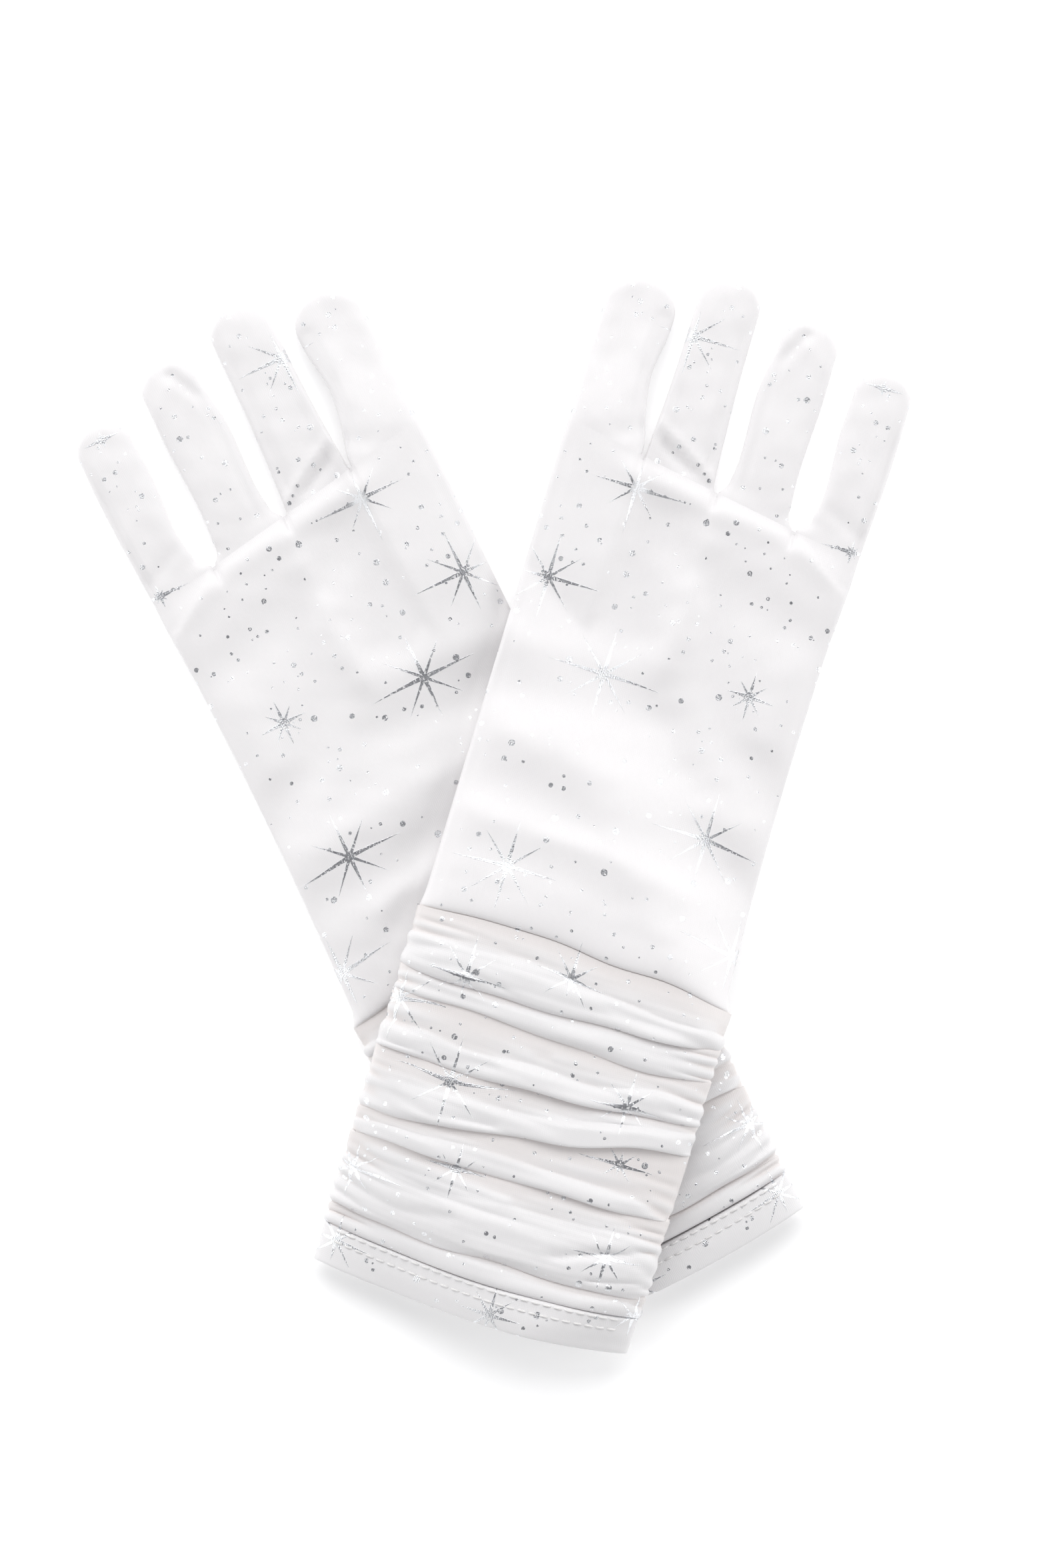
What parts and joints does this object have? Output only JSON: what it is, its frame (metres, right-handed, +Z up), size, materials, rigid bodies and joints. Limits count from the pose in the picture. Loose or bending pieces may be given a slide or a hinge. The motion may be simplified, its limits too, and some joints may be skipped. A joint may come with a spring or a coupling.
{
  "type": "opera gloves",
  "caption": "A pair of child's white stretch-satin opera gloves with foil stars and dots and gathered cuffs, lying crossed, with folding fingers and thumbs.",
  "frame": {"origin": "middle of the pair's bounding box, on the surface that the pair lies on", "axes": "+Z up out of the surface, +Y from the cuffs towards the fingertips, +X to the right with the backs of the hands up"},
  "size_m": [0.2048, 0.2662, 0.0209],
  "materials": {
    "satin": "white stretch satin with silver foil stars and dots",
    "cuff_satin": "the same satin gathered into cross folds",
    "elastic": "matt white knitted elastic",
    "thread": "white polyester sewing thread"
  },
  "bodies": {
    "left_glove": {"left_hand_back": "satin", "left_hand_palm": "satin", "left_sleeve_back": "cuff_satin", "left_sleeve_palm": "cuff_satin", "left_hem_back": "cuff_satin", "left_hem_palm": "cuff_satin", "left_elastic_index_side": "elastic", "left_elastic_little_side": "elastic", "left_hem_stitch_row_1": "thread", "left_hem_stitch_row_2": "thread"},
    "right_glove": {"right_hand_back": "satin", "right_hand_palm": "satin", "right_sleeve_back": "cuff_satin", "right_sleeve_palm": "cuff_satin", "right_hem_back": "cuff_satin", "right_hem_palm": "cuff_satin", "right_elastic_index_side": "elastic", "right_elastic_little_side": "elastic", "right_hem_stitch_row_1": "thread", "right_hem_stitch_row_2": "thread"},
    "left_index_finger": {"left_index_back": "satin", "left_index_palm": "satin"},
    "left_middle_finger": {"left_middle_back": "satin", "left_middle_palm": "satin"},
    "left_ring_finger": {"left_ring_back": "satin", "left_ring_palm": "satin"},
    "left_little_finger": {"left_little_back": "satin", "left_little_palm": "satin"},
    "left_thumb": {"left_thumb_back": "satin", "left_thumb_palm": "satin"},
    "right_index_finger": {"right_index_back": "satin", "right_index_palm": "satin"},
    "right_middle_finger": {"right_middle_back": "satin", "right_middle_palm": "satin"},
    "right_ring_finger": {"right_ring_back": "satin", "right_ring_palm": "satin"},
    "right_little_finger": {"right_little_back": "satin", "right_little_palm": "satin"},
    "right_thumb": {"right_thumb_back": "satin", "right_thumb_palm": "satin"}
  },
  "joints": [
    {"name": "right_glove_lift", "type": "slide", "parent": "left_glove", "child": "right_glove", "axis": [0, 0, 1], "range_m": [0, 0.12]},
    {"name": "left_index_fold", "type": "hinge", "parent": "left_glove", "child": "left_index_finger", "pos_m": [-0.02676, 0.09114, 0.0078], "axis": [0.8136, 0.5814, 0], "range_deg": [0, 150]},
    {"name": "left_middle_fold", "type": "hinge", "parent": "left_glove", "child": "left_middle_finger", "pos_m": [-0.04351, 0.07917, 0.00751], "axis": [0.8136, 0.5814, 0], "range_deg": [0, 150]},
    {"name": "left_ring_fold", "type": "hinge", "parent": "left_glove", "child": "left_ring_finger", "pos_m": [-0.06047, 0.06705, 0.00555], "axis": [0.8136, 0.5814, 0], "range_deg": [0, 150]},
    {"name": "left_little_fold", "type": "hinge", "parent": "left_glove", "child": "left_little_finger", "pos_m": [-0.07657, 0.05555, 0.00555], "axis": [0.8136, 0.5814, 0], "range_deg": [0, 150]},
    {"name": "left_thumb_swing", "type": "hinge", "parent": "left_glove", "child": "left_thumb", "pos_m": [-0.0086, 0.04917, 0], "axis": [0, 0, -1], "range_deg": [0, 24]},
    {"name": "right_index_fold", "type": "hinge", "parent": "right_glove", "child": "right_index_finger", "pos_m": [0.02741, 0.09269, 0.0078], "axis": [0.8961, -0.4438, 0], "range_deg": [0, 150]},
    {"name": "right_middle_fold", "type": "hinge", "parent": "right_glove", "child": "right_middle_finger", "pos_m": [0.04586, 0.08355, 0.00751], "axis": [0.8961, -0.4438, 0], "range_deg": [0, 150]},
    {"name": "right_ring_fold", "type": "hinge", "parent": "right_glove", "child": "right_ring_finger", "pos_m": [0.06454, 0.0743, 0.00555], "axis": [0.8961, -0.4438, 0], "range_deg": [0, 150]},
    {"name": "right_little_fold", "type": "hinge", "parent": "right_glove", "child": "right_little_finger", "pos_m": [0.08226, 0.06552, 0.00555], "axis": [0.8961, -0.4438, 0], "range_deg": [0, 150]},
    {"name": "right_thumb_swing", "type": "hinge", "parent": "right_glove", "child": "right_thumb", "pos_m": [0.0162, 0.04836, 0], "axis": [0, 0, 1], "range_deg": [0, 24]}
  ]
}
